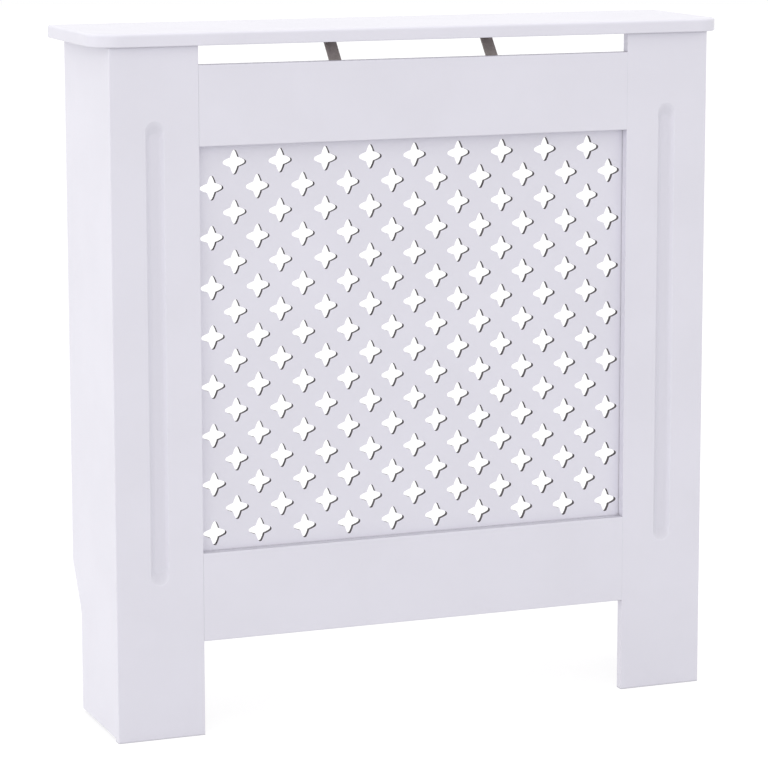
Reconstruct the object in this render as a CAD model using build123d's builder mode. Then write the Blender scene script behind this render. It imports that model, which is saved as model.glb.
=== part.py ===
from build123d import *
import os

# Radiator cover cabinet: a painted board cover that stands on the floor in front of a radiator, its
# open back against the wall. Millimetres. X runs along the wall, the front faces -Y, the wall is at
# +Y and Z is up. The origin is on the floor, at the middle of the overall width and depth.

# ---- overall size ----
overall_width = 780.0
overall_depth = 190.0
overall_height = 815.0

# ---- top board ----
top_thickness = 15.0
top_corner_radius = 33.0        # the two front corners, seen from above
top_side_overhang = 19.0
top_front_overhang = 7.0
top_edge_radius = 3.0           # its upper edge, all round
under_edge_radius = 1.2         # its lower edge, all round

# ---- carcass boards ----
front_thickness = 12.0          # pilasters and rails
side_thickness = 12.0
pilaster_width = 104.5
board_edge_radius = 1.2         # softened front edges
joint_edge_radius = 0.4         # front edges that meet another board
rear_edge_radius = 1.0          # rear edges of the front boards, round the window
side_floor_gap = 4.0            # the side panels stop short of the floor, the pilasters stand on it

# ---- flute of a pilaster ----
flute_width = 22.0              # at the face of the board
flute_bed_width = 13.0          # at its full depth
flute_depth = 5.0
flute_runout = 14.0             # length of the slope at each end
flute_floor_gap = 182.0         # from its lower end to the floor
flute_top_gap = 84.0            # from its upper end to the top board
flute_cove_radius = 4.5         # where its bed meets its slopes
flute_rim_radius = 1.5          # where its slopes meet the face

# ---- rails ----
leg_height = 111.5              # clear height under the bottom rail
bottom_rail_height = 104.0
top_rail_height = 92.5
air_slot_height = 22.0          # between the top rail and the top board

# ---- cut-out for the skirting board, at the bottom rear of each side panel ----
skirting_depth = 34.0
skirting_height = 122.0
skirting_slope_height = 56.0
skirting_blend_radius = 20.0

# ---- grille ----
grille_thickness = 6.0
grille_lap = 20.0               # how far it reaches behind the boards round its window
star_half_pitch_x = 27.6        # from one star to the next column
star_pitch_z = 28.65            # from one row to the next
star_reach = 16.2               # where the two flanks of an arm would meet
star_waist = 5.3                # where neighbouring arms meet, from each axis
star_flank_radius = 30.0
star_tip_radius = 2.6
star_margin = 3.0               # least strip between a star and the edge of the window

# ---- steel straps between the top rail and the top board ----
strap_spacing = 195.0
strap_width = 15.0
strap_thickness = 1.5
strap_tab_length = 30.0
strap_step_back = 20.0          # from the rail's back to where the strap reaches the top board
strap_start_below_rail = 2.0
strap_bend_radius = 3.0
strap_hole_spacing = 14.0

# ---- corner battens ----
batten_size = 20.0
batten_floor_gap = 30.0
batten_top_gap = 60.0
batten_chamfer = 1.0
batten_screw_count = 4          # in each of the two boards that it joins

# ---- angle brackets under the top board ----
angle_leg = 25.0
angle_width = 20.0
angle_thickness = 2.0
angle_bend_radius = 2.5
angle_front_inset = 45.0        # from the back of the front boards to the middle of a bracket
angle_wall_inset = 48.0         # from the wall to the middle of a bracket

# ---- wall brackets ----
wall_bracket_height = 50.0
wall_bracket_leg = 20.0         # along the wall
wall_bracket_side_leg = 28.0    # along the side panel
wall_bracket_drop = 70.0        # from the top board down to the middle of the bracket
wall_hole_spacing = 26.0
wall_hole_radius = 2.5
wall_hole_from_bend = 12.0

# ---- dowels ----
dowel_radius = 3.0
dowel_length = 30.0
top_dowel_length = 22.0
dowel_chamfer = 0.75
dowel_clearance = 0.1           # round a dowel, and past each of its ends
dowel_end_inset = 22.0          # from the top or bottom edge of a rail
top_dowel_front_inset = 20.0    # from the back of the front boards
top_dowel_wall_inset = 28.0

# ---- screws ----
screw_radius = 1.75
screw_head_radius = 3.5
screw_head_height = 2.2
screw_head_edge = 0.9
screw_recess_length = 3.8
screw_recess_width = 0.9
screw_recess_depth = 1.3
screw_clearance = 0.1
bracket_screw_length = 10.5
grille_screw_length = 15.0
batten_screw_length = 28.0
grille_row_screw_count = 5      # along each rail
grille_column_screw_count = 3   # up each pilaster
batten_screw_stagger = 24.0     # between the screws of the two boards

# ---- sizes that follow ----
top_underside = overall_height - top_thickness
front_y = top_front_overhang - overall_depth / 2
frame_back_y = front_y + front_thickness
wall_y = overall_depth / 2
carcass_half_width = overall_width / 2 - top_side_overhang
side_inner_x = carcass_half_width - side_thickness
window_half_width = carcass_half_width - pilaster_width
window_low = leg_height + bottom_rail_height
top_rail_top = top_underside - air_slot_height
window_high = top_rail_top - top_rail_height
window_middle_z = (window_low + window_high) / 2
grille_back_y = frame_back_y + grille_thickness
flute_low = flute_floor_gap
flute_high = top_underside - flute_top_gap
sides = ((-1, "left"), (1, "right"))

frame_back = Plane.XZ.offset(-frame_back_y)     # extruding from it makes the front boards
grille_back = Plane.XZ.offset(-grille_back_y)

os.makedirs("parts", exist_ok=True)


def save(builder, name):
    """Labels a finished piece and writes it under its name."""
    builder.part.label = name
    export_step(builder.part, f"parts/{name}.step")


def seats(points, outward):
    """One drilling plane at each point, facing outward, the way a screw's head looks."""
    return [Plane(origin=point, z_dir=outward) for point in points]


def evenly(low, high, count):
    """Evenly spaced values from low to high, both included."""
    return [low + (high - low) * step / (count - 1) for step in range(count)]


def between(low, high, count):
    """Evenly spaced values between low and high, neither included."""
    return [low + (high - low) * (step + 1) / (count + 1) for step in range(count)]


# ---- where the fasteners go ----
strap_back_y = frame_back_y + strap_thickness
strap_top_y = strap_back_y + strap_step_back
strap_xs = (-strap_spacing / 2, strap_spacing / 2)
strap_tab_low = top_rail_top - strap_start_below_rail - strap_tab_length
strap_rail_hole_zs = [
    strap_tab_low + (strap_tab_length - strap_hole_spacing) / 2 + step for step in (0, strap_hole_spacing)
]
strap_top_hole_ys = [
    strap_top_y + (strap_tab_length + strap_hole_spacing) / 2 - step for step in (0, strap_hole_spacing)
]
strap_rail_seats = seats([(x, strap_back_y, z) for x in strap_xs for z in strap_rail_hole_zs], (0, 1, 0))
strap_top_seats = seats(
    [(x, y, top_underside - strap_thickness) for x in strap_xs for y in strap_top_hole_ys], (0, 0, -1)
)

grille_screw_inset = grille_lap / 2
grille_screw_x = window_half_width + grille_screw_inset
grille_screw_low = window_low - grille_screw_inset
grille_screw_high = window_high + grille_screw_inset
grille_row_xs = between(-grille_screw_x, grille_screw_x, grille_row_screw_count)
grille_column_zs = between(grille_screw_low, grille_screw_high, grille_column_screw_count)
grille_rail_points = {
    "bottom": [(x, grille_back_y, grille_screw_low) for x in grille_row_xs],
    "top": [(x, grille_back_y, grille_screw_high) for x in grille_row_xs],
}
grille_side_points = {
    side: [(side * grille_screw_x, grille_back_y, z) for z in grille_column_zs] for side, hand in sides
}
grille_points = [
    point for points in (*grille_rail_points.values(), *grille_side_points.values()) for point in points
]
grille_seats = seats(grille_points, (0, 1, 0))

batten_low = batten_floor_gap
batten_high = top_underside - batten_top_gap
batten_back_y = frame_back_y + batten_size
batten_inner_x = side_inner_x - batten_size
batten_screw_zs = evenly(
    batten_low + batten_screw_stagger, batten_high - 2 * batten_screw_stagger, batten_screw_count
)

angle_ys = (frame_back_y + angle_front_inset, wall_y - angle_wall_inset)
angle_hole_from_corner = (angle_leg + angle_thickness + angle_bend_radius) / 2
angle_side_z = top_underside - angle_hole_from_corner
angle_top_x = side_inner_x - angle_hole_from_corner

wall_bracket_z = top_underside - wall_bracket_drop
wall_hole_x = side_inner_x - wall_hole_from_bend
wall_hole_zs = (wall_bracket_z - wall_hole_spacing / 2, wall_bracket_z + wall_hole_spacing / 2)
wall_bracket_screw_y = wall_y - (wall_bracket_side_leg + angle_thickness + angle_bend_radius) / 2

rail_dowel_zs = {
    "bottom": (leg_height + dowel_end_inset, window_low - dowel_end_inset),
    "top": (window_high + dowel_end_inset, top_rail_top - dowel_end_inset),
}
rail_dowel_y = (front_y + frame_back_y) / 2
top_dowel_x = carcass_half_width - side_thickness / 2
top_dowel_ys = (frame_back_y + top_dowel_front_inset, wall_y - top_dowel_wall_inset)
top_dowel_points = [(side * top_dowel_x, y, top_underside) for side, hand in sides for y in top_dowel_ys]


def batten_pilaster_seats(side):
    """Screws through a corner batten into its pilaster."""
    x = side * (side_inner_x - batten_size / 2)
    return seats([(x, batten_back_y, z) for z in batten_screw_zs], (0, 1, 0))


def batten_side_seats(side):
    """Screws through a corner batten into its side panel, between the others."""
    y = frame_back_y + batten_size / 2
    points = [(side * batten_inner_x, y, z + batten_screw_stagger) for z in batten_screw_zs]
    return seats(points, (-side, 0, 0))


def angle_side_seats(side):
    """Screws of the angle brackets into a side panel."""
    x = side * (side_inner_x - angle_thickness)
    return seats([(x, y, angle_side_z) for y in angle_ys], (-side, 0, 0))


def angle_top_seats(side):
    """Screws of the angle brackets into the top board."""
    return seats([(side * angle_top_x, y, top_underside - angle_thickness) for y in angle_ys], (0, 0, -1))


def wall_bracket_seats(side):
    """Screws of a wall bracket into its side panel."""
    x = side * (side_inner_x - angle_thickness)
    return seats([(x, wall_bracket_screw_y, z) for z in wall_hole_zs], (-side, 0, 0))


def drill(planes, length):
    """Blind holes for screws of the given length whose heads sit on the planes."""
    with Locations(*planes):
        Hole(radius=screw_radius + screw_clearance, depth=length + screw_clearance)


def screws(planes, length):
    """Cross-recessed pan head screws, one on each plane, as separate solids."""
    with BuildPart() as screw:
        Cylinder(screw_radius, length, align=(Align.CENTER, Align.CENTER, Align.MAX))
        Cylinder(screw_head_radius, screw_head_height, align=(Align.CENTER, Align.CENTER, Align.MIN))
        fillet(screw.edges().filter_by(GeomType.CIRCLE).sort_by(Axis.Z)[-1], screw_head_edge)
        with Locations((0, 0, screw_head_height)):
            for turn in (0, 90):
                Box(
                    screw_recess_length,
                    screw_recess_width,
                    screw_recess_depth,
                    rotation=(0, 0, turn),
                    align=(Align.CENTER, Align.CENTER, Align.MAX),
                    mode=Mode.SUBTRACT,
                )
    with BuildPart() as group:
        with Locations(*planes):
            add(screw.part)
    return group


def dowels(planes, length):
    """Glued dowels centred on the planes and lying along their normals, as separate solids."""
    with BuildPart() as group:
        with Locations(*planes):
            Cylinder(dowel_radius, length)
        chamfer(group.edges().filter_by(GeomType.CIRCLE), dowel_chamfer)
    return group


def lay_bent_strip(plane, path, width, thickness, radius):
    """Adds to the piece being built a flat bar bent along the path that its middle follows on the plane."""
    with BuildSketch(plane) as section:
        with BuildLine():
            FilletPolyline(*path, radius=radius)
        trace(line_width=thickness)
    extrude(section.sketch, amount=width / 2, both=True)


# ---- top board ----
with BuildPart() as top_board:
    with BuildSketch(Plane.XY.offset(top_underside)):
        board = Rectangle(overall_width, overall_depth)
        fillet(board.vertices().group_by(Axis.Y)[0], top_corner_radius)
    extrude(amount=top_thickness)
    fillet(top_board.faces().sort_by(Axis.Z)[-1].edges(), top_edge_radius)
    fillet(top_board.faces().sort_by(Axis.Z)[0].edges(), under_edge_radius)
    drill(strap_top_seats, bracket_screw_length)
    for side, hand in sides:
        drill(angle_top_seats(side), bracket_screw_length)
    with Locations(*seats(top_dowel_points, (0, 0, -1))):
        Hole(radius=dowel_radius + dowel_clearance, depth=top_dowel_length / 2 + dowel_clearance)
save(top_board, "top_board")

# ---- pilasters: fluted front boards that stand on the floor ----
for side, hand in sides:
    pilaster_x = side * (window_half_width + pilaster_width / 2)
    inner_x = side * window_half_width

    with BuildPart() as flute:
        with BuildSketch(Plane.XZ.offset(-front_y)):
            with Locations((pilaster_x, (flute_low + flute_high) / 2)):
                SlotOverall(flute_high - flute_low, flute_width, rotation=90)
        with BuildSketch(Plane.XZ.offset(-front_y - flute_depth)):
            with Locations((pilaster_x, (flute_low + flute_high) / 2)):
                SlotOverall(flute_high - flute_low - 2 * flute_runout, flute_bed_width, rotation=90)
        loft()
        fillet(flute.faces().sort_by(Axis.Y)[-1].edges(), flute_cove_radius)

    with BuildPart() as pilaster:
        with BuildSketch(frame_back):
            with Locations((pilaster_x, top_underside / 2)):
                Rectangle(pilaster_width, top_underside)
        extrude(amount=front_thickness)
        across = pilaster.faces().sort_by(Axis.X, reverse=side > 0)
        fillet(across[0].edges().filter_by(Axis.Z).sort_by(Axis.Y)[0], board_edge_radius)
        inner_edges = across[-1].edges().filter_by(Axis.Z).sort_by(Axis.Y)
        fillet(inner_edges[0], joint_edge_radius)
        fillet(inner_edges[-1], rear_edge_radius)
        fillet(pilaster.faces().sort_by(Axis.Y)[0].edges().sort_by(Axis.Z)[-1], joint_edge_radius)
        add(flute.part, mode=Mode.SUBTRACT)
        rim = pilaster.faces().sort_by(Axis.Y)[0].inner_wires()[0]
        fillet(rim.edges(), flute_rim_radius)
        with Locations(*seats(
            [(inner_x, rail_dowel_y, z) for zs in rail_dowel_zs.values() for z in zs], (-side, 0, 0)
        )):
            Hole(radius=dowel_radius + dowel_clearance, depth=dowel_length / 2 + dowel_clearance)
        drill(seats(grille_side_points[side], (0, 1, 0)), grille_screw_length)
        drill(batten_pilaster_seats(side), batten_screw_length)
    save(pilaster, f"{hand}_pilaster")

# ---- side panels, cut away at the bottom rear for the skirting board ----
notch_y = wall_y - skirting_depth
rear_outline = (
    (notch_y, side_floor_gap),
    (notch_y, skirting_height),
    (wall_y, skirting_height + skirting_slope_height),
    (wall_y, top_underside),
)
front_outline = (
    (wall_y, top_underside),
    (frame_back_y, top_underside),
    (frame_back_y, side_floor_gap),
    (notch_y, side_floor_gap),
)
for side, hand in sides:
    with BuildPart() as side_panel:
        with BuildSketch(Plane.YZ.offset(side * side_inner_x)):
            with BuildLine():
                FilletPolyline(*rear_outline, radius=skirting_blend_radius)
                Polyline(*front_outline)
            make_face()
        extrude(amount=side * side_thickness)
        outer_face = side_panel.faces().sort_by(Axis.X)[-1 if side > 0 else 0]
        rear_edges = outer_face.edges().group_by(Axis.Y)[-1]
        fillet(rear_edges, board_edge_radius)
        with Locations(*seats([(x, y, z) for x, y, z in top_dowel_points if x * side > 0], (0, 0, 1))):
            Hole(radius=dowel_radius + dowel_clearance, depth=top_dowel_length / 2 + dowel_clearance)
        drill(batten_side_seats(side), batten_screw_length)
        drill(angle_side_seats(side), bracket_screw_length)
        drill(wall_bracket_seats(side), bracket_screw_length)
    save(side_panel, f"{hand}_side_panel")

# ---- rails between the pilasters ----
rail_spans = {"bottom": (leg_height, window_low), "top": (window_high, top_rail_top)}
for level, (low, high) in rail_spans.items():
    with BuildPart() as rail:
        with BuildSketch(frame_back):
            with Locations((0, (low + high) / 2)):
                Rectangle(2 * window_half_width, high - low)
        extrude(amount=front_thickness)
        fillet(rail.faces().sort_by(Axis.Y)[0].edges().filter_by(Axis.X), board_edge_radius)
        fillet(rail.faces().sort_by(Axis.Y)[-1].edges().filter_by(Axis.X), rear_edge_radius)
        for side, hand in sides:
            ends = [(side * window_half_width, rail_dowel_y, z) for z in rail_dowel_zs[level]]
            with Locations(*seats(ends, (side, 0, 0))):
                Hole(radius=dowel_radius + dowel_clearance, depth=dowel_length / 2 + dowel_clearance)
        drill(seats(grille_rail_points[level], (0, 1, 0)), grille_screw_length)
        if level == "top":
            drill(strap_rail_seats, bracket_screw_length)
    save(rail, f"{level}_rail")

    dowel_points = [(x, rail_dowel_y, z) for x in (-window_half_width, window_half_width)
                    for z in rail_dowel_zs[level]]
    save(dowels(seats(dowel_points, (1, 0, 0)), dowel_length), f"{level}_rail_dowels")

save(dowels(seats(top_dowel_points, (0, 0, 1)), top_dowel_length), "top_board_dowels")

# ---- grille panel: staggered rows of four-pointed stars ----
with BuildSketch() as star:
    with BuildLine():
        for turn in range(4):
            waist = Vector(star_waist, -star_waist).rotate(Axis.Z, 90 * turn)
            tip = Vector(star_reach, 0).rotate(Axis.Z, 90 * turn)
            next_waist = Vector(star_waist, star_waist).rotate(Axis.Z, 90 * turn)
            RadiusArc(waist, tip, -star_flank_radius)
            RadiusArc(tip, next_waist, -star_flank_radius)
    make_face()
    fillet(star.vertices().group_by(lambda v: round(v.center().length, 3))[-1], star_tip_radius)

star_room = star.sketch.bounding_box().size.X + 2 * star_margin
star_columns = 1 + int((2 * window_half_width - star_room) / star_half_pitch_x)
star_rows = 1 + int((window_high - window_low - star_room) / star_pitch_z)
star_places = [
    (
        (column - (star_columns - 1) / 2) * star_half_pitch_x,
        window_middle_z + ((star_rows - 1) / 2 - row) * star_pitch_z,
    )
    for row in range(star_rows)
    for column in range(star_columns)
    if (row + column) % 2 == 1
]

with BuildPart() as grille_panel:
    with BuildSketch(grille_back):
        with Locations((0, window_middle_z)):
            Rectangle(2 * (window_half_width + grille_lap), window_high - window_low + 2 * grille_lap)
        with Locations(*star_places):
            add(star.sketch, mode=Mode.SUBTRACT)
        with Locations(*[(plane.origin.X, plane.origin.Z) for plane in grille_seats]):
            Circle(screw_radius + screw_clearance, mode=Mode.SUBTRACT)
    extrude(amount=grille_thickness)
save(grille_panel, "grille_panel")
save(screws(grille_seats, grille_screw_length), "grille_screws")

# ---- corner battens, each screwed to a pilaster and to its side panel ----
for side, hand in sides:
    with BuildPart() as batten:
        with BuildSketch(Plane.XY.offset(batten_low)):
            with Locations((side * (side_inner_x - batten_size / 2), frame_back_y + batten_size / 2)):
                Rectangle(batten_size, batten_size)
        extrude(amount=batten_high - batten_low)
        chamfer(batten.edges().filter_by(Axis.Z), batten_chamfer)
        drill(batten_pilaster_seats(side), batten_size)
        drill(batten_side_seats(side), batten_size)
    save(batten, f"{hand}_corner_batten")
    save(screws(batten_pilaster_seats(side) + batten_side_seats(side), batten_screw_length),
         f"{hand}_batten_screws")

# ---- steel straps that tie the top board to the top rail across the air slot ----
half_strap = strap_thickness / 2
strap_path = (
    (frame_back_y + half_strap, strap_tab_low),
    (frame_back_y + half_strap, strap_tab_low + strap_tab_length),
    (strap_top_y - half_strap, top_underside - half_strap),
    (strap_top_y + strap_tab_length, top_underside - half_strap),
)
for x, (side, hand) in zip(strap_xs, sides):
    with BuildPart() as strap:
        lay_bent_strip(Plane.YZ.offset(x), strap_path, strap_width, strap_thickness, strap_bend_radius)
        own_seats = [plane for plane in strap_rail_seats + strap_top_seats if plane.origin.X * side > 0]
        with Locations(*own_seats):
            Hole(radius=screw_radius + screw_clearance, depth=strap_thickness)
    save(strap, f"{hand}_top_strap")
save(screws(strap_rail_seats + strap_top_seats, bracket_screw_length), "strap_screws")

# ---- angle brackets that hold the top board down on the side panels ----
half_angle = angle_thickness / 2
angle_screw_seats = []
for side, hand in sides:
    corner_x = side * (side_inner_x - half_angle)
    corner_z = top_underside - half_angle
    angle_path = (
        (corner_x, top_underside - angle_leg),
        (corner_x, corner_z),
        (side * (side_inner_x - angle_leg), corner_z),
    )
    for y, place in zip(angle_ys, ("front", "rear")):
        with BuildPart() as angle:
            lay_bent_strip(Plane.XZ.offset(-y), angle_path, angle_width, angle_thickness, angle_bend_radius)
            with Locations(*[plane for plane in angle_side_seats(side) + angle_top_seats(side)
                             if abs(plane.origin.Y - y) < angle_width]):
                Hole(radius=screw_radius + screw_clearance, depth=angle_thickness)
        save(angle, f"{hand}_{place}_angle_bracket")
    angle_screw_seats += angle_side_seats(side) + angle_top_seats(side)
save(screws(angle_screw_seats, bracket_screw_length), "angle_bracket_screws")

# ---- wall brackets at the rear of the side panels ----
wall_screw_seats = []
for side, hand in sides:
    corner_x = side * (side_inner_x - half_angle)
    wall_path = (
        (corner_x, wall_y - wall_bracket_side_leg),
        (corner_x, wall_y - half_angle),
        (side * (side_inner_x - wall_bracket_leg), wall_y - half_angle),
    )
    with BuildPart() as wall_bracket:
        middle = Plane.XY.offset(wall_bracket_z)
        lay_bent_strip(middle, wall_path, wall_bracket_height, angle_thickness, angle_bend_radius)
        with Locations(*wall_bracket_seats(side)):
            Hole(radius=screw_radius + screw_clearance, depth=angle_thickness)
        with Locations(*seats([(side * wall_hole_x, wall_y, z) for z in wall_hole_zs], (0, 1, 0))):
            Hole(radius=wall_hole_radius, depth=angle_thickness)
    save(wall_bracket, f"{hand}_wall_bracket")
    wall_screw_seats += wall_bracket_seats(side)
save(screws(wall_screw_seats, bracket_screw_length), "wall_bracket_screws")
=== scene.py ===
"""Looks of a radiator cover cabinet: paint, cut fibreboard, pine, beech and zinc, with the stage."""

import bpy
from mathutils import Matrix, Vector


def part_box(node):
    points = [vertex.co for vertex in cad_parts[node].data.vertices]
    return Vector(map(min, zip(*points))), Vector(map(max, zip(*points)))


bl_info = {
    "name": "Radiator Cover Cabinet",
    "version": (1, 0, 0),
    "blender": (4, 5, 0),
    "location": "3D View > Sidebar > Radiator Cover",
    "description": "Finishes the boards, star grille and fittings of a radiator cover and lights its stage",
    "category": "Object",
}

import math

import bpy
import numpy as np
from bpy.props import FloatProperty, FloatVectorProperty, PointerProperty

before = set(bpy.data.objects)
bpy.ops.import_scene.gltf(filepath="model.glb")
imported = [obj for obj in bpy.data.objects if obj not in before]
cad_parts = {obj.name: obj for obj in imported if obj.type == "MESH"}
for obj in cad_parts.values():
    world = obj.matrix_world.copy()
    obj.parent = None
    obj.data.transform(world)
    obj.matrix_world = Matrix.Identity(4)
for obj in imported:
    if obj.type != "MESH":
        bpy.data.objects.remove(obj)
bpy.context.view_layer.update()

PLAIN_BOARDS = ("top_board", "left_side_panel", "right_side_panel")
FRONT_BOARDS = ("left_pilaster", "right_pilaster", "top_rail", "bottom_rail")
GRILLE = ("grille_panel",)
BATTENS = ("left_corner_batten", "right_corner_batten")
DOWELS = ("top_rail_dowels", "bottom_rail_dowels", "top_board_dowels")
STRAPS = ("left_top_strap", "right_top_strap")
BRACKETS = ("left_front_angle_bracket", "left_rear_angle_bracket", "right_front_angle_bracket",
            "right_rear_angle_bracket", "left_wall_bracket", "right_wall_bracket")
SCREWS = ("grille_screws", "strap_screws", "left_batten_screws", "right_batten_screws",
          "angle_bracket_screws", "wall_bracket_screws")

# Spans: the two values between which an effect comes in.
PATCH_SPAN = (0.32, 0.68)           # thin paint, over the noise of the patches
# Painted shade: the span below turns an occlusion mask into dark colour in joints and corners.
CREASE_PAINTED_SHADE_SPAN = (0.84, 0.52)          # a crease, over the share of open space round a point
EDGE_SPAN = (0.999, 0.86)           # a softened edge, over the largest part of the normal
FORWARD_SPAN = (-0.62, -0.95)       # a face that looks to the front, over the normal's Y
BACK_SPAN = (0.55, 0.9)             # a face that looks to the wall, over the normal's Y
UPWARD_SPAN = (0.0, 0.9)            # a face that looks up, over the normal's Z
CUT_SPAN = (0.7, 0.4)               # a cut edge of the grille, over the size of the normal's Y
RUB_SPAN = (0.53, 0.70)             # one rub, over the noise of the rubs
RUBBED_AREA_SPAN = (0.48, 0.64)     # the areas that hold rubs, over their noise
FIBRE_SPAN = (0.38, 0.62)           # light fibre, over the noise of the bundles
RING_SPAN = (0.25, 1.0)             # the dark part of a year ring, over its wave
STREAK_SPAN = (0.45, 0.75)          # a dark streak in timber, over the noise of the streaks
STREAK_GLOSS_SPAN = (0.2, 0.8)      # the change of gloss with the streaks
CLOUD_SPAN = (0.35, 0.65)           # a dull cloud on plating, over the noise of the clouds
MOTTLE_SPAN = (0.0, 0.8)            # the change of gloss with the tone of plating

# Shares: how much of an effect shows.
PATCH_SHARE = 0.8                   # of the thin paint's colour in a patch
BUNDLE_SHARE, BURN_SHARE = 0.65, 0.35       # of fine bundles and broad burnish in a cut edge
STREAK_SHARE = 0.35                 # of the dark colour in a streak of timber
CRYSTAL_SHARE, CLOUD_SHARE = 0.35, 0.5      # of crystals and clouds in the tone of plating
BRIGHT_EDGE_SHARE = 0.4             # of the bright tone on the edges of plating
DEEP_TONE, BRIGHT_TONE = 0.62, 1.25         # the darkest and the brightest plating, times its colour

# Roughness, and how much it changes.
PATCH_ROUGHER, EDGE_SMOOTHER, RUB_SMOOTHER = 0.07, 0.07, 0.09
CUT_ROUGHNESS = 0.85
COAT_ROUGHNESS = 0.22
TIMBER_ROUGHNESS = (0.52, 0.74)     # from the smooth wood to the open streaks
PLATE_SMOOTHER, PLATE_ROUGHER = 0.08, 0.14

# Proportions along X, Y and Z of what is longer one way than another: a small share draws it out.
RUB_SHAPE = (0.35, 0.35, 1.6)
FIBRE_SHAPE = (0.45, 1.5, 0.45)
RING_SHAPE = (1.0, 1.0, 0.06)
STREAK_SHAPE = (1.0, 1.0, 0.025)

# Sizes and scales.
RUB_SIZE = 0.012                    # metres
STREAKS_TO_THE_METRE = 2600.0
TIMBER_RELIEF = 0.00012             # metres
PLATE_RELIEF = 0.00002              # metres
FIBRE_RELIEF_OVER_PAINT = 3.0       # times the relief of the roller's texture
RUBBED_AREA_SCALE, BURN_SCALE, CLOUD_SCALE = 0.09, 0.05, 0.16       # of the fine noise's scale
WAVE_TO_RINGS = math.pi / 10        # the ring texture's scale that gives one ring to the metre
RING_BEND, RING_BEND_SCALE = 2.2, 0.35

# The timber and the plating, one by one.
PINE_PITH, PINE_RING_SHARE = (0.02, 0.11, 0.0), 0.75        # metres; of the dark colour in a ring
BEECH_PITH, BEECH_RING_SHARE = (0.01, 0.09, 0.0), 0.25
STRAP_DULL, BRACKET_DULL, SCREW_DULL = 0.50, 0.38, 0.27

# The stage.
FLOOR_WHITE = 1.06                  # what the floor's glow and its lit part add up to
CAMERA_PLACE = (-1.3859, -3.5442, 1.0624)
CAMERA_BELOW_LEVEL, CAMERA_TURN = 9.3213, -21.6428      # degrees
CAMERA_SHIFT = (-0.0299, -0.06)
SIDE_LAMP = {"place": (-3.2, 0.55, 1.7), "target": (-0.3, 0.1, 0.45), "size": 2.4}
FRONT_LAMP = {"place": (-2.7, -2.6, 0.95), "target": (0.0, 0.0, 0.45), "size": 2.0}
TOP_LAMP = {"place": (0.1, -0.5, 3.4), "target": (0.0, 0.0, 0.8), "size": 2.6}


# ---------------------------------------------------------------- settings


def length(label, text, metres):
    """A length in metres that the user may change."""
    return FloatProperty(name=label, description=text, default=metres, min=0.00001, unit="LENGTH",
                         subtype="DISTANCE", precision=5)


def share(label, text, value):
    """A number from 0 to 1 that the user may change."""
    return FloatProperty(name=label, description=text, default=value, min=0.0, max=1.0, subtype="FACTOR")


def amount(label, text, value):
    """A number above 0 that the user may change."""
    return FloatProperty(name=label, description=text, default=value, min=0.0, precision=3)


def colour(label, text, rgb):
    """A colour that the user may change."""
    return FloatVectorProperty(name=label, description=text, default=rgb, size=3, min=0.0, max=1.0,
                               subtype="COLOR")


class PaintSettings(bpy.types.PropertyGroup):
    """The satin paint on every board."""

    shade: colour("Paint", "Colour of the satin paint", (0.800, 0.784, 0.862))
    thin_shade: colour("Thin paint", "Colour where the roller left less paint", (0.776, 0.760, 0.834))
    back_shade: colour("Back coat", "Colour of the primer-like coat on faces that look to the wall",
                       (0.740, 0.728, 0.780))
    # Painted shade: the colour below darkens the beds of the flutes between the two depths that follow,
    # standing in for the shade that falls in them.
    flute_painted_shade: colour("Soaked paint", "Colour on the bed of a flute, where the board soaks up paint",
                         (0.750, 0.735, 0.811))
    flute_shade_start: length("Soak start", "Depth behind the front face where the soaked paint begins", 0.0003)
    flute_shade_full: length("Soak full", "Depth behind the front face where the paint is fully soaked", 0.0026)
    edge_depth: length("Edge depth", "Depth behind the front face where its rounded edges end", 0.0006)
    # Painted shade: the colour below darkens sawn edges behind the front that look up, such as the rails' top
    # edges under the top board, standing in for the shade that falls on them.
    ledge_painted_shade: colour("Sawn edge", "Colour of the paint on sawn edges that look up",
                       (0.580, 0.568, 0.628))
    # Painted shade: the crease colour, reach and darkness below darken joints and corners by an occlusion
    # mask, standing in for the shade that falls there; the window's darkness is for the joint round the
    # grille.
    crease_painted_shade: colour("Crease", "Colour deep in the joint between two boards", (0.430, 0.418, 0.455))
    crease_painted_shade_reach: length("Crease reach", "How far out of a joint its darkness reaches", 0.003)
    crease_painted_shade_share: share("Crease darkness", "How dark a joint between two boards gets", 0.75)
    window_crease_painted_shade_share: share("Window crease darkness", "How dark the joint round the grille gets", 0.40)
    peel_size: length("Roller texture", "Width of one bump of the roller's texture", 0.0021)
    peel_height: length("Roller texture height", "How far the roller's texture stands up", 0.00004)
    patch_size: length("Patch size", "Width of the soft patches of thinner paint", 0.11)
    roughness: share("Roughness", "How matt the paint is", 0.46)
    coat: share("Satin film", "How much of the paint's smooth top film shows", 0.45)


class FibreSettings(bpy.types.PropertyGroup):
    """The bare edges where the stars are cut through the grille."""

    light_shade: colour("Light fibre", "Colour of the lighter fibres in a cut edge", (0.148, 0.133, 0.140))
    dark_shade: colour("Dark fibre", "Colour of the burnished fibres in a cut edge", (0.076, 0.067, 0.073))
    fibre_size: length("Fibre size", "Width of one bundle of fibres", 0.0006)
    paint_lap: length("Paint lap", "How far the paint runs over a cut edge from the front", 0.0004)


class TimberSettings(bpy.types.PropertyGroup):
    """The pine battens and the beech dowels."""

    pine_early: colour("Pine, early wood", "Colour of pine's pale broad rings", (0.700, 0.500, 0.285))
    pine_late: colour("Pine, late wood", "Colour of pine's dark narrow rings", (0.480, 0.270, 0.115))
    beech_pale: colour("Beech", "Main colour of beech", (0.640, 0.455, 0.290))
    beech_fleck: colour("Beech fleck", "Colour of the flecks in beech", (0.420, 0.260, 0.145))
    ring_spacing: length("Ring spacing", "Distance from one year ring to the next", 0.0026)


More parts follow.
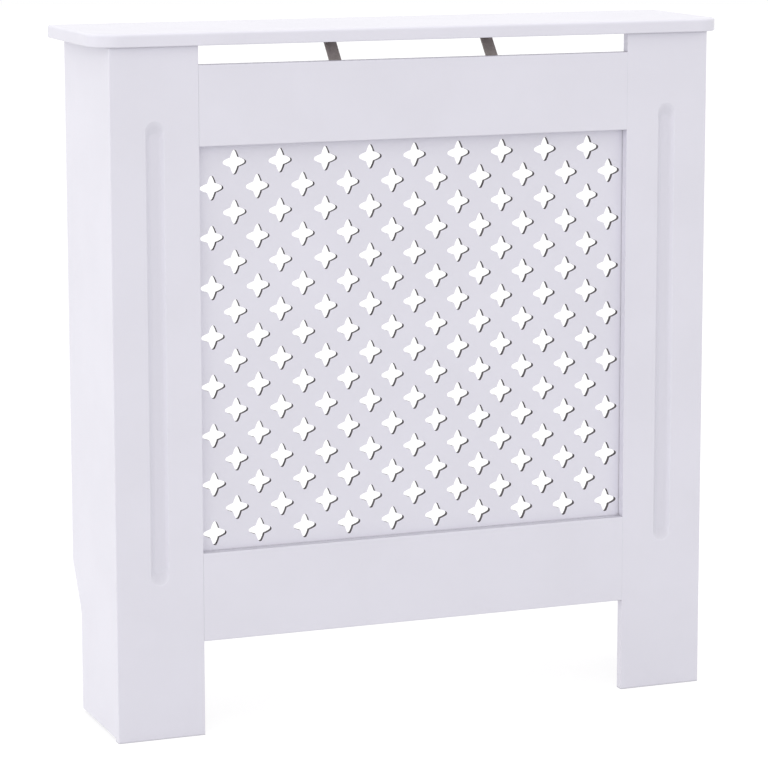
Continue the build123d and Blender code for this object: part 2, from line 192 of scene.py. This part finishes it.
class ZincSettings(bpy.types.PropertyGroup):
    """The plated steel of straps, brackets and screws."""

    strap_shade: colour("Strap", "Colour of the dull plating on the straps", (0.429, 0.388, 0.356))
    bracket_shade: colour("Bracket", "Colour of the plating on the brackets", (0.560, 0.555, 0.550))
    screw_shade: colour("Screw", "Colour of the plating on the screws", (0.690, 0.680, 0.650))
    grain_size: length("Grain size", "Width of one crystal of the plating", 0.0016)


class StageSettings(bpy.types.PropertyGroup):
    """The floor, the lamps and the camera."""

    floor_radius: length("Floor radius", "How far the pale floor reaches", 14.0)
    floor_shade: colour("Floor", "Colour of the pale floor", (0.59, 0.59, 0.60))
    floor_glow: share("Floor white", "How white the floor stays in the shadow, as the camera sees it", 0.72)
    sky: amount("Even light", "Strength of the light that comes from all round", 1.09)
    sky_lean: share("Light from the left", "How much stronger that light is at the left than overhead", 0.16)
    side_power: amount("Side lamp", "Power of the large lamp at the left, in watts", 6.5)
    front_power: amount("Front lamp", "Power of the large lamp at the left of the front, in watts", 5.5)
    top_power: amount("Top lamp", "Power of the large lamp overhead, in watts", 4.0)
    lens: amount("Lens", "Focal length of the camera, in millimetres", 151.241)


class CoverSettings(bpy.types.PropertyGroup):
    """Everything about the cover that a user may change."""

    paint: PointerProperty(type=PaintSettings)
    fibre: PointerProperty(type=FibreSettings)
    timber: PointerProperty(type=TimberSettings)
    zinc: PointerProperty(type=ZincSettings)
    stage: PointerProperty(type=StageSettings)


# ---------------------------------------------------------------- node helpers


def add_node(tree, kind, inputs=None, **properties):
    """Adds a node, sets its properties, and gives each listed input a value or a link."""
    made = tree.nodes.new(kind)
    made.location = (190 * (len(tree.nodes) % 9), -260 * (len(tree.nodes) // 9))
    for key, value in properties.items():
        setattr(made, key, value)
    for key, value in (inputs or {}).items():
        if isinstance(value, bpy.types.NodeSocket):
            tree.links.new(value, made.inputs[key])
        else:
            made.inputs[key].default_value = value
    return made


def maths(tree, operation, a, b=0.0, c=0.0):
    """One sum: on a alone, on a and b, or a times b plus c for MULTIPLY_ADD."""
    return add_node(tree, "ShaderNodeMath", {0: a, 1: b, 2: c}, operation=operation).outputs[0]


def ramp(tree, value, low, high, to_low=0.0, to_high=1.0):
    """A smooth step: to_low where value is at low, to_high where it is at high, and held outside."""
    made = add_node(
        tree, "ShaderNodeMapRange",
        {"Value": value, "From Min": low, "From Max": high, "To Min": to_low, "To Max": to_high},
        interpolation_type="SMOOTHSTEP",
    )
    return made.outputs["Result"]


def mixed(tree, factor, a, b):
    """Colour a where factor is 0 and colour b where it is 1."""
    return add_node(tree, "ShaderNodeMix", {0: factor, 6: a, 7: b}, data_type="RGBA").outputs[2]


def noise(tree, vector, scale, detail=2.0, roughness=0.5):
    """Noise from 0 to 1 with the given number of lumps to the metre."""
    made = add_node(tree, "ShaderNodeTexNoise",
                    {"Vector": vector, "Scale": scale, "Detail": detail, "Roughness": roughness})
    return made.outputs["Fac"]


def axis_of(tree, vector, axis):
    """One of the three numbers of a vector."""
    return add_node(tree, "ShaderNodeSeparateXYZ", {0: vector}).outputs[axis]


def crease_painted_shade_mask(tree, reach):
    """A mask for painted shade in creases: 1 deep in the crease where surfaces meet, and 0 where the surface
    is open all round.
    """
    openness = add_node(tree, "ShaderNodeAmbientOcclusion", {"Distance": reach}, samples=8)
    return ramp(tree, openness.outputs["AO"], *CREASE_PAINTED_SHADE_SPAN)


def stretched(tree, vector, scale):
    """The coordinates multiplied along each axis."""
    made = add_node(tree, "ShaderNodeVectorMath", {0: vector, 1: scale}, operation="MULTIPLY")
    return made.outputs[0]


def new_group(name, inputs, outputs):
    """An empty shader node group with the given sockets, as (its tree, its inner input sockets, its inner
    output node)."""
    tree = bpy.data.node_groups.new(name, "ShaderNodeTree")
    for label, kind, value in inputs:
        socket = tree.interface.new_socket(name=label, in_out="INPUT", socket_type=kind)
        if value is not None:
            socket.default_value = value
    for label in outputs:
        tree.interface.new_socket(name=label, in_out="OUTPUT", socket_type="NodeSocketFloat")
    return tree, tree.nodes.new("NodeGroupInput").outputs, tree.nodes.new("NodeGroupOutput")


def place_group(tree, name, inputs):
    """Places a shared group in a material with the material's own values."""
    return add_node(tree, "ShaderNodeGroup", inputs, node_tree=bpy.data.node_groups[name]).outputs


def wire(tree, sockets):
    """Links each listed (from, to) pair of sockets."""
    for source, target in sockets:
        tree.links.new(source, target)


def rgba(shade):
    """A colour setting with full opacity."""
    return (*shade, 1.0)


# ---------------------------------------------------------------- shared effects


def build_roller_paint():
    """Rolled paint: fine even lumps of the roller's nap, over broad soft patches of thinner paint."""
    tree, given, out = new_group(
        "roller paint",
        (("Vector", "NodeSocketVector", None), ("Peel Size", "NodeSocketFloat", 0.002),
         ("Patch Size", "NodeSocketFloat", 0.1)),
        ("Patch", "Peel"),
    )
    peel = noise(tree, given["Vector"], maths(tree, "DIVIDE", 1.0, given["Peel Size"]), 3.0, 0.45)
    patch = noise(tree, given["Vector"], maths(tree, "DIVIDE", 1.0, given["Patch Size"]), 4.0, 0.55)
    wire(tree, ((ramp(tree, patch, *PATCH_SPAN), out.inputs["Patch"]), (peel, out.inputs["Peel"])))


def build_softened_edge():
    """1 on rounded edges and coves, where the surface looks along no axis, and 0 on the flat faces."""
    tree, given, out = new_group("softened edge", (("Normal", "NodeSocketVector", None),), ("Edge",))
    size = add_node(tree, "ShaderNodeVectorMath", {0: given["Normal"]}, operation="ABSOLUTE")
    parts = add_node(tree, "ShaderNodeSeparateXYZ", {0: size.outputs[0]}).outputs
    most = maths(tree, "MAXIMUM", maths(tree, "MAXIMUM", parts[0], parts[1]), parts[2])
    wire(tree, ((ramp(tree, most, *EDGE_SPAN), out.inputs["Edge"]),))


def build_handling_marks():
    """Faint rubs that change only the gloss: streaks in a few soft areas."""
    tree, given, out = new_group(
        "handling marks",
        (("Vector", "NodeSocketVector", None), ("Mark Size", "NodeSocketFloat", 0.01)),
        ("Mark",),
    )
    scale = maths(tree, "DIVIDE", 1.0, given["Mark Size"])
    streak = noise(tree, stretched(tree, given["Vector"], RUB_SHAPE), scale, 5.0, 0.62)
    area = noise(tree, given["Vector"], maths(tree, "MULTIPLY", scale, RUBBED_AREA_SCALE), 2.0)
    rub = maths(tree, "MULTIPLY", ramp(tree, streak, *RUB_SPAN), ramp(tree, area, *RUBBED_AREA_SPAN))
    wire(tree, ((rub, out.inputs["Mark"]),))


def build_cut_fibre():
    """Sawn fibreboard: flat bundles of fibre in thin layers that lie parallel to the board's faces."""
    tree, given, out = new_group(
        "cut fibre",
        (("Vector", "NodeSocketVector", None), ("Fibre Size", "NodeSocketFloat", 0.0006)),
        ("Fibre", "Height"),
    )
    scale = maths(tree, "DIVIDE", 1.0, given["Fibre Size"])
    bundle = noise(tree, stretched(tree, given["Vector"], FIBRE_SHAPE), scale, 4.0, 0.6)
    burn = noise(tree, given["Vector"], maths(tree, "MULTIPLY", scale, BURN_SCALE), 2.0)
    blend = maths(tree, "ADD", maths(tree, "MULTIPLY", bundle, BUNDLE_SHARE),
                  maths(tree, "MULTIPLY", burn, BURN_SHARE))
    wire(tree, ((ramp(tree, blend, *FIBRE_SPAN), out.inputs["Fibre"]), (bundle, out.inputs["Height"])))


def build_timber_grain():
    """Sawn timber that runs along Z: rings round a pith, bent by slow noise, and long fine streaks."""
    tree, given, out = new_group(
        "timber grain",
        (("Vector", "NodeSocketVector", None), ("Ring Spacing", "NodeSocketFloat", 0.0025)),
        ("Ring", "Streak"),
    )
    bent = stretched(tree, given["Vector"], RING_SHAPE)
    rings = add_node(
        tree, "ShaderNodeTexWave",
        {"Vector": bent, "Scale": maths(tree, "DIVIDE", WAVE_TO_RINGS, given["Ring Spacing"]),
         "Distortion": RING_BEND, "Detail": 2.0, "Detail Scale": RING_BEND_SCALE},
        wave_type="RINGS", rings_direction="Z", wave_profile="SAW",
    )
    streak = noise(tree, stretched(tree, given["Vector"], STREAK_SHAPE), STREAKS_TO_THE_METRE, 3.0, 0.6)
    wire(tree, ((ramp(tree, rings.outputs["Fac"], *RING_SPAN), out.inputs["Ring"]),
                (streak, out.inputs["Streak"])))


def build_zinc_plate():
    """Zinc plating: small crystals of slightly different grey, and cloudy dull patches."""
    tree, given, out = new_group(
        "zinc plate",
        (("Vector", "NodeSocketVector", None), ("Grain Size", "NodeSocketFloat", 0.0016)),
        ("Crystal", "Cloud"),
    )
    scale = maths(tree, "DIVIDE", 1.0, given["Grain Size"])
    crystal = add_node(tree, "ShaderNodeTexVoronoi", {"Vector": given["Vector"], "Scale": scale})
    tone = add_node(tree, "ShaderNodeSeparateColor", {0: crystal.outputs["Color"]}).outputs[0]
    cloud = noise(tree, given["Vector"], maths(tree, "MULTIPLY", scale, CLOUD_SCALE), 4.0, 0.6)
    wire(tree, ((tone, out.inputs["Crystal"]), (ramp(tree, cloud, *CLOUD_SPAN), out.inputs["Cloud"])))


def build_effects():
    """Every shared effect, once."""
    build_roller_paint()
    build_softened_edge()
    build_handling_marks()
    build_cut_fibre()
    build_timber_grain()
    build_zinc_plate()


# ---------------------------------------------------------------- materials


def new_material(name, **constants):
    """A material with a plain Principled surface, as (material, tree, surface, coordinate outputs)."""
    material = bpy.data.materials.new(name)
    material.use_nodes = True
    tree = material.node_tree
    surface = tree.nodes["Principled BSDF"]
    for key, value in constants.items():
        surface.inputs[key.replace("_", " ")].default_value = value
    where = add_node(tree, "ShaderNodeTexCoord").outputs
    return material, tree, surface, where


def relief(tree, surface, height, distance):
    """Raises the surface by height times distance."""
    bump = add_node(tree, "ShaderNodeBump", {"Height": height, "Distance": distance})
    tree.links.new(bump.outputs["Normal"], surface.inputs["Normal"])


def painted_shade_places(tree, where, paint, front_y):
    """Three masks from the depth behind the front face, as (flute, ledge, shallow): routed surfaces that
    still look to the front and sawn edges that look up, which both get painted shade, and all within the
    rounded edges of the front."""
    depth = maths(tree, "SUBTRACT", axis_of(tree, where["Object"], "Y"), front_y)
    flute_shade_depth = ramp(tree, depth, paint.flute_shade_start, paint.flute_shade_full)
    behind = ramp(tree, depth, 0.0, paint.edge_depth)
    forward = ramp(tree, axis_of(tree, where["Normal"], "Y"), *FORWARD_SPAN)
    upward = ramp(tree, axis_of(tree, where["Normal"], "Z"), *UPWARD_SPAN)
    flute = maths(tree, "MULTIPLY", flute_shade_depth, forward)
    ledge = maths(tree, "MULTIPLY", behind, upward)
    return flute, ledge, maths(tree, "SUBTRACT", 1.0, behind)


def paint_layer(tree, where, paint, crease_painted_shade_share, front_y=None):
    """The painted look as (colour, roughness, height), shared by the boards and the grille's faces, with
    painted shade in joints and corners. Given the place of the front face, shade is also painted behind it,
    on the beds of flutes and on sawn edges that look up, and the painted crease shade stays off the flutes
    and the rounded edges of the front."""
    rolled = place_group(
        tree, "roller paint",
        {"Vector": where["Object"], "Peel Size": paint.peel_size, "Patch Size": paint.patch_size},
    )
    edge = place_group(tree, "softened edge", {"Normal": where["Normal"]})["Edge"]
    marks = place_group(tree, "handling marks", {"Vector": where["Object"], "Mark Size": RUB_SIZE})["Mark"]
    thin = maths(tree, "MULTIPLY", rolled["Patch"], PATCH_SHARE)
    front = mixed(tree, thin, rgba(paint.shade), rgba(paint.thin_shade))
    # Painted shade in joints and corners, from an occlusion mask.
    crease = maths(tree, "MULTIPLY", crease_painted_shade_mask(tree, paint.crease_painted_shade_reach), crease_painted_shade_share)
    if front_y is not None:
        # Painted shade on the beds of the flutes.
        flute, ledge, shallow = painted_shade_places(tree, where, paint, front_y)
        front = mixed(tree, flute, front, rgba(paint.flute_painted_shade))
        # Painted shade on sawn edges that look up.
        front = mixed(tree, ledge, front, rgba(paint.ledge_painted_shade))
        open_place = maths(tree, "MAXIMUM", flute, maths(tree, "MULTIPLY", edge, shallow))
        crease = maths(tree, "MULTIPLY", crease, maths(tree, "SUBTRACT", 1.0, open_place))
    looks_back = ramp(tree, axis_of(tree, where["Normal"], "Y"), *BACK_SPAN)
    tone = mixed(tree, looks_back, front, rgba(paint.back_shade))
    tone = mixed(tree, crease, tone, rgba(paint.crease_painted_shade))
    rough = maths(tree, "MULTIPLY_ADD", rolled["Patch"], PATCH_ROUGHER, paint.roughness)
    rough = maths(tree, "SUBTRACT", rough, maths(tree, "MULTIPLY", edge, EDGE_SMOOTHER))
    rough = maths(tree, "SUBTRACT", rough, maths(tree, "MULTIPLY", marks, RUB_SMOOTHER))
    return tone, rough, rolled["Peel"]


def painted_board(name, paint, front_y=None):
    """Fibreboard under satin paint."""
    material, tree, surface, where = new_material(name, Coat_Weight=paint.coat, Coat_Roughness=COAT_ROUGHNESS)
    tone, rough, peel = paint_layer(tree, where, paint, paint.crease_painted_shade_share, front_y)
    wire(tree, ((tone, surface.inputs["Base Color"]), (rough, surface.inputs["Roughness"])))
    relief(tree, surface, peel, paint.peel_height)
    return material


def pierced_board(paint, fibre):
    """Painted faces, and bare fibre on what looks sideways, from just behind the front face."""
    material, tree, surface, where = new_material("painted grille board", Coat_Roughness=COAT_ROUGHNESS)
    # Painted shade in the joint round the grille, at the window's darkness.
    tone, rough, peel = paint_layer(tree, where, paint, paint.window_crease_painted_shade_share)
    cut = place_group(tree, "cut fibre", {"Vector": where["Object"], "Fibre Size": fibre.fibre_size})
    bare = mixed(tree, cut["Fibre"], rgba(fibre.dark_shade), rgba(fibre.light_shade))
    across = maths(tree, "ABSOLUTE", axis_of(tree, where["Normal"], "Y"))
    sideways = ramp(tree, across, *CUT_SPAN)
    depth = maths(tree, "SUBTRACT", axis_of(tree, where["Object"], "Y"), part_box("grille_panel")[0].y)
    ragged = maths(tree, "MULTIPLY_ADD", cut["Height"], fibre.paint_lap, depth)
    past_lap = ramp(tree, ragged, fibre.paint_lap, fibre.paint_lap * 2)
    exposed = maths(tree, "MULTIPLY", sideways, past_lap)
    wire(tree, ((mixed(tree, exposed, tone, bare), surface.inputs["Base Color"]),))
    rough = maths(tree, "MAXIMUM", rough, maths(tree, "MULTIPLY", exposed, CUT_ROUGHNESS))
    film = maths(tree, "MULTIPLY", maths(tree, "SUBTRACT", 1.0, exposed), paint.coat)
    wire(tree, ((rough, surface.inputs["Roughness"]), (film, surface.inputs["Coat Weight"])))
    fibre_height = maths(tree, "MULTIPLY", exposed, cut["Height"])
    fibre_relief = maths(tree, "MULTIPLY", fibre_height, FIBRE_RELIEF_OVER_PAINT)
    relief(tree, surface, maths(tree, "ADD", peel, fibre_relief), paint.peel_height)
    return material


def planed_timber(name, pale, dark, ring_spacing, ring_share, pith):
    """Bare planed wood, its rings centred on a pith at the given distance from the part's origin."""
    material, tree, surface, where = new_material(name)
    placed = add_node(tree, "ShaderNodeMapping", {"Vector": where["Object"], "Location": pith})
    grain = place_group(tree, "timber grain", {"Vector": placed.outputs[0], "Ring Spacing": ring_spacing})
    rings = maths(tree, "MULTIPLY", grain["Ring"], ring_share)
    streaks = maths(tree, "MULTIPLY", ramp(tree, grain["Streak"], *STREAK_SPAN), STREAK_SHARE)
    tone = mixed(tree, maths(tree, "ADD", rings, streaks), rgba(pale), rgba(dark))
    rough = ramp(tree, grain["Streak"], *STREAK_GLOSS_SPAN, *TIMBER_ROUGHNESS)
    wire(tree, ((tone, surface.inputs["Base Color"]), (rough, surface.inputs["Roughness"])))
    relief(tree, surface, maths(tree, "ADD", grain["Streak"], rings), TIMBER_RELIEF)
    return material


def plated_steel(name, shade, grain_size, dull):
    """Zinc plated steel: crystals and clouds in tone and in gloss, with a roughness near dull."""
    material, tree, surface, where = new_material(name, Metallic=1.0)
    plate = place_group(tree, "zinc plate", {"Vector": where["Object"], "Grain Size": grain_size})
    edge = place_group(tree, "softened edge", {"Normal": where["Normal"]})["Edge"]
    mottle = maths(tree, "ADD", maths(tree, "MULTIPLY", plate["Crystal"], CRYSTAL_SHARE),
                   maths(tree, "MULTIPLY", plate["Cloud"], CLOUD_SHARE))
    deep = tuple(DEEP_TONE * part for part in shade)
    tone = mixed(tree, mottle, rgba(shade), rgba(deep))
    bright = tuple(min(1.0, BRIGHT_TONE * part) for part in shade)
    tone = mixed(tree, maths(tree, "MULTIPLY", edge, BRIGHT_EDGE_SHARE), tone, rgba(bright))
    rough = ramp(tree, mottle, *MOTTLE_SPAN, dull - PLATE_SMOOTHER, dull + PLATE_ROUGHER)
    wire(tree, ((tone, surface.inputs["Base Color"]), (rough, surface.inputs["Roughness"])))
    relief(tree, surface, plate["Crystal"], PLATE_RELIEF)
    return material


def dress(names, material):
    """Gives the solids their finish."""
    for name in names:
        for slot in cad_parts[name].material_slots:
            slot.material = material


# ---------------------------------------------------------------- stage


def floor_mesh(radius):
    """A round flat floor: rings of points round Z, at radius times the square of evenly spaced shares from
    0 to 1, joined into strips, so that the faces are small near the middle and large far out."""
    rings, turns = 24, 96
    reach = radius * np.linspace(0.0, 1.0, rings + 1)[1:] ** 2
    angle = np.linspace(0.0, 2 * np.pi, turns, endpoint=False)
    x = np.outer(reach, np.cos(angle)).ravel()
    y = np.outer(reach, np.sin(angle)).ravel()
    points = np.vstack([np.zeros((1, 3)), np.column_stack([x, y, np.zeros_like(x)])])
    ring, turn = np.meshgrid(np.arange(rings - 1), np.arange(turns), indexing="ij")
    here = 1 + ring * turns + turn
    side = 1 + ring * turns + (turn + 1) % turns
    quads = np.stack([here, here + turns, side + turns, side], axis=-1).reshape(-1, 4)
    first = np.arange(turns)
    fan = np.column_stack([np.zeros(turns, int), 1 + first, 1 + (first + 1) % turns])
    mesh = bpy.data.meshes.new("floor")
    mesh.from_pydata(points.tolist(), [], fan.tolist() + quads.tolist())
    return mesh


def seen_directly(tree):
    """1 for the camera's own rays and those that mirrors and glass pass on, and 0 for lighting rays."""
    path = add_node(tree, "ShaderNodeLightPath").outputs
    seen = maths(tree, "MAXIMUM", path["Is Camera Ray"], path["Is Glossy Ray"])
    return maths(tree, "MAXIMUM", seen, path["Is Transmission Ray"])


def floor_material(stage):
    """A pale matt floor that lights the cover from below. To the camera it also glows, so that it shows
    white but for the cover's shadow."""
    material = bpy.data.materials.new("pale floor")
    material.use_nodes = True
    tree = material.node_tree
    tree.nodes.clear()
    bounce = add_node(tree, "ShaderNodeBsdfDiffuse", {"Color": rgba(stage.floor_shade)})
    thin = add_node(tree, "ShaderNodeBsdfDiffuse", {"Color": (*[FLOOR_WHITE - stage.floor_glow] * 3, 1.0)})
    glow = add_node(tree, "ShaderNodeEmission", {"Color": (1, 1, 1, 1), "Strength": stage.floor_glow})
    white = add_node(tree, "ShaderNodeAddShader", {0: thin.outputs[0], 1: glow.outputs[0]})
    both = add_node(tree, "ShaderNodeMixShader",
                    {0: seen_directly(tree), 1: bounce.outputs[0], 2: white.outputs[0]})
    add_node(tree, "ShaderNodeOutputMaterial", {"Surface": both.outputs[0]})
    return material


def light_world(stage):
    """Light from all round, a little stronger from the left, which the camera sees as plain white."""
    world = bpy.data.worlds.new("white studio")
    bpy.context.scene.world = world
    world.use_nodes = True
    tree = world.node_tree
    tree.nodes.clear()
    to_right = axis_of(tree, add_node(tree, "ShaderNodeTexCoord").outputs["Object"], "X")
    strength = maths(tree, "MULTIPLY_ADD", to_right, -stage.sky * stage.sky_lean, stage.sky)
    even = add_node(tree, "ShaderNodeBackground", {"Color": (1, 1, 1, 1), "Strength": strength})
    white = add_node(tree, "ShaderNodeBackground", {"Color": (1, 1, 1, 1), "Strength": 1.0})
    both = add_node(tree, "ShaderNodeMixShader",
                    {0: seen_directly(tree), 1: even.outputs[0], 2: white.outputs[0]})
    add_node(tree, "ShaderNodeOutputWorld", {"Surface": both.outputs[0]})


def soft_lamp(name, place, target, size, power):
    """A large square lamp that looks at the target and that the camera doesn't see."""
    lamp = bpy.data.lights.new(name, "AREA")
    lamp.shape = "SQUARE"
    lamp.size = size
    lamp.energy = power
    made = bpy.data.objects.new(name, lamp)
    bpy.context.scene.collection.objects.link(made)
    place, target = np.array(place), np.array(target)
    way = target - place
    made.location = place
    made.rotation_euler = (math.acos(-way[2] / np.linalg.norm(way)), 0.0, math.atan2(-way[0], way[1]))
    made.visible_camera = False


def place_camera(stage):
    """The camera, at the left of the front and a little above the cover, looking slightly down."""
    lens = bpy.data.cameras.new("camera")
    lens.lens = stage.lens
    lens.shift_x, lens.shift_y = CAMERA_SHIFT
    made = bpy.data.objects.new("camera", lens)
    bpy.context.scene.collection.objects.link(made)
    made.location = CAMERA_PLACE
    made.rotation_euler = (math.radians(90.0 - CAMERA_BELOW_LEVEL), 0.0, math.radians(CAMERA_TURN))
    bpy.context.scene.camera = made


# ---------------------------------------------------------------- operators


class COVER_OT_boards(bpy.types.Operator):
    """Paints the top board, pilasters, side panels and rails"""

    bl_idname = "cover.boards"
    bl_label = "Paint Boards"

    def execute(self, context):
        paint = context.scene.cover.paint
        dress(PLAIN_BOARDS, painted_board("white satin paint", paint))
        dress(FRONT_BOARDS, painted_board("white satin paint, front", paint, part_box("top_rail")[0].y))
        return {"FINISHED"}


class COVER_OT_grille(bpy.types.Operator):
    """Paints the star grille and bares its cut edges"""

    bl_idname = "cover.grille"
    bl_label = "Finish Grille"

    def execute(self, context):
        dress(GRILLE, pierced_board(context.scene.cover.paint, context.scene.cover.fibre))
        return {"FINISHED"}


class COVER_OT_timber(bpy.types.Operator):
    """Gives the corner battens pine grain and the dowels beech grain"""

    bl_idname = "cover.timber"
    bl_label = "Grain Timber"

    def execute(self, context):
        timber = context.scene.cover.timber
        dress(BATTENS, planed_timber("planed pine", timber.pine_early, timber.pine_late,
                                     timber.ring_spacing, PINE_RING_SHARE, PINE_PITH))
        dress(DOWELS, planed_timber("beech", timber.beech_pale, timber.beech_fleck,
                                    timber.ring_spacing / 2, BEECH_RING_SHARE, BEECH_PITH))
        return {"FINISHED"}


class COVER_OT_fittings(bpy.types.Operator):
    """Plates the straps, brackets and screws"""

    bl_idname = "cover.fittings"
    bl_label = "Plate Fittings"

    def execute(self, context):
        zinc = context.scene.cover.zinc
        dress(STRAPS, plated_steel("dull zinc strap", zinc.strap_shade, zinc.grain_size, STRAP_DULL))
        dress(BRACKETS, plated_steel("zinc bracket", zinc.bracket_shade, zinc.grain_size * 1.4, BRACKET_DULL))
        dress(SCREWS, plated_steel("bright zinc screw", zinc.screw_shade, zinc.grain_size / 3, SCREW_DULL))
        return {"FINISHED"}


class COVER_OT_stage(bpy.types.Operator):
    """Lays the floor, lights it and places the camera"""

    bl_idname = "cover.stage"
    bl_label = "Set Stage"

    def execute(self, context):
        stage = context.scene.cover.stage
        floor = bpy.data.objects.new("floor", floor_mesh(stage.floor_radius))
        floor.data.materials.append(floor_material(stage))
        context.scene.collection.objects.link(floor)
        light_world(stage)
        soft_lamp("side lamp", power=stage.side_power, **SIDE_LAMP)
        soft_lamp("front lamp", power=stage.front_power, **FRONT_LAMP)
        soft_lamp("top lamp", power=stage.top_power, **TOP_LAMP)
        place_camera(stage)
        context.scene.view_settings.view_transform = "Standard"
        return {"FINISHED"}


class COVER_PT_panel(bpy.types.Panel):
    """The cover's settings and steps"""

    bl_label = "Radiator Cover"
    bl_idname = "COVER_PT_panel"
    bl_space_type = "VIEW_3D"
    bl_region_type = "UI"
    bl_category = "Radiator Cover"

    def draw(self, context):
        cover = context.scene.cover
        for step, group in STEPS:
            box = self.layout.box()
            box.operator(step.bl_idname)
            settings = getattr(cover, group)
            for key in settings.__annotations__:
                box.prop(settings, key)


STEPS = ((COVER_OT_boards, "paint"), (COVER_OT_grille, "fibre"), (COVER_OT_timber, "timber"),
         (COVER_OT_fittings, "zinc"), (COVER_OT_stage, "stage"))
CLASSES = (PaintSettings, FibreSettings, TimberSettings, ZincSettings, StageSettings, CoverSettings,
           *[step for step, group in STEPS], COVER_PT_panel)


def register():
    """Adds the settings, steps and panel."""
    for item in CLASSES:
        bpy.utils.register_class(item)
    bpy.types.Scene.cover = PointerProperty(type=CoverSettings)


def unregister():
    """Takes them away again."""
    del bpy.types.Scene.cover
    for item in reversed(CLASSES):
        bpy.utils.unregister_class(item)


def main():
    """Finishes every piece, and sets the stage."""
    register()
    build_effects()
    bpy.ops.cover.boards()
    bpy.ops.cover.grille()
    bpy.ops.cover.timber()
    bpy.ops.cover.fittings()
    bpy.ops.cover.stage()


if __name__ == "__main__":
    main()
